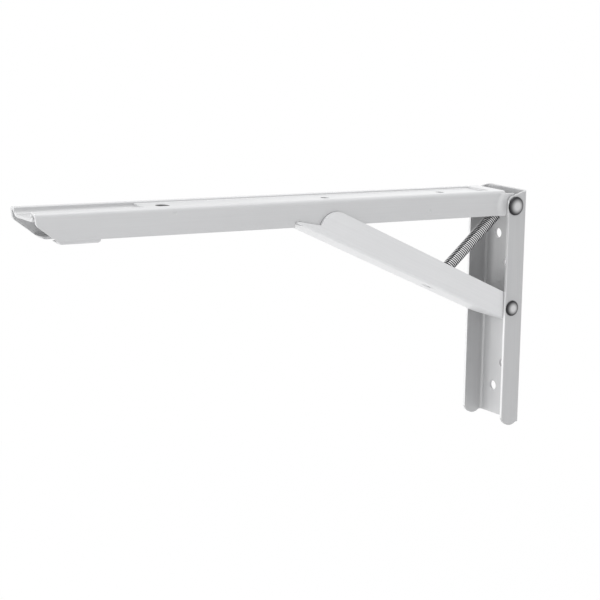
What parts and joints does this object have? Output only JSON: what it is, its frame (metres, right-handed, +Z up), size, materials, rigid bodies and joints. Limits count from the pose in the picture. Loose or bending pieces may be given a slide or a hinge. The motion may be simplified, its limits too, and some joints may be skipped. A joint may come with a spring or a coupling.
{
  "type": "folding shelf bracket",
  "caption": "Folding shelf bracket of pressed sheet steel: a channel arm that hinges down against its wall plate, held level by a sprung channel strut.",
  "frame": {"origin": "middle of the wall plate's back face, on the surface of the wall", "axes": "+Y into the wall, the arm points along -Y away from the wall, +X to the right seen from the arm's front looking at the wall, +Z up"},
  "size_m": [0.0444, 0.3521, 0.1696],
  "materials": {
    "plate_steel": "brushed",
    "arm_steel": "brushed along its length",
    "strut_steel": "brushed along its length",
    "rivet_steel": "polished",
    "spring_steel": "drawn wire"
  },
  "bodies": {
    "wall_plate": {"wall_plate": "plate_steel", "top_pivot_rivet": "rivet_steel", "lower_rivet_right": "rivet_steel", "lower_rivet_left": "rivet_steel"},
    "arm": {"shelf_arm": "arm_steel"},
    "strut": {"strut": "strut_steel"},
    "spring": {"spring": "spring_steel"},
    "spring_end": {"spring_hook": "spring_steel"}
  },
  "joints": [
    {"name": "arm_fold", "type": "hinge", "parent": "wall_plate", "child": "arm", "pos_m": [0, -0.0105, 0.0692], "axis": [1, 0, 0], "range_deg": [0, 92]},
    {"name": "strut_fold", "type": "hinge", "parent": "wall_plate", "child": "strut", "pos_m": [0, -0.0105, 0.0012], "axis": [1, 0, 0], "range_deg": [0, 115.1]},
    {"name": "spring_swing", "type": "hinge", "parent": "wall_plate", "child": "spring", "pos_m": [0, -0.0105, 0.0692], "axis": [1, 0, 0], "range_deg": [0, 52.31]},
    {"name": "spring_stretch", "type": "slide", "parent": "spring", "child": "spring_end", "axis": [0, -0.7733, -0.6341], "range_m": [0, 0.05591], "deforming": ["spring", "spring_hook"]}
  ],
  "couplings": [
    {"joint": "strut_fold", "follows": "arm_fold", "ratio": 1.2511},
    {"joint": "spring_swing", "follows": "arm_fold", "ratio": 0.56802},
    {"joint": "spring_stretch", "follows": "arm_fold", "m_per_rad": 0.034757}
  ]
}
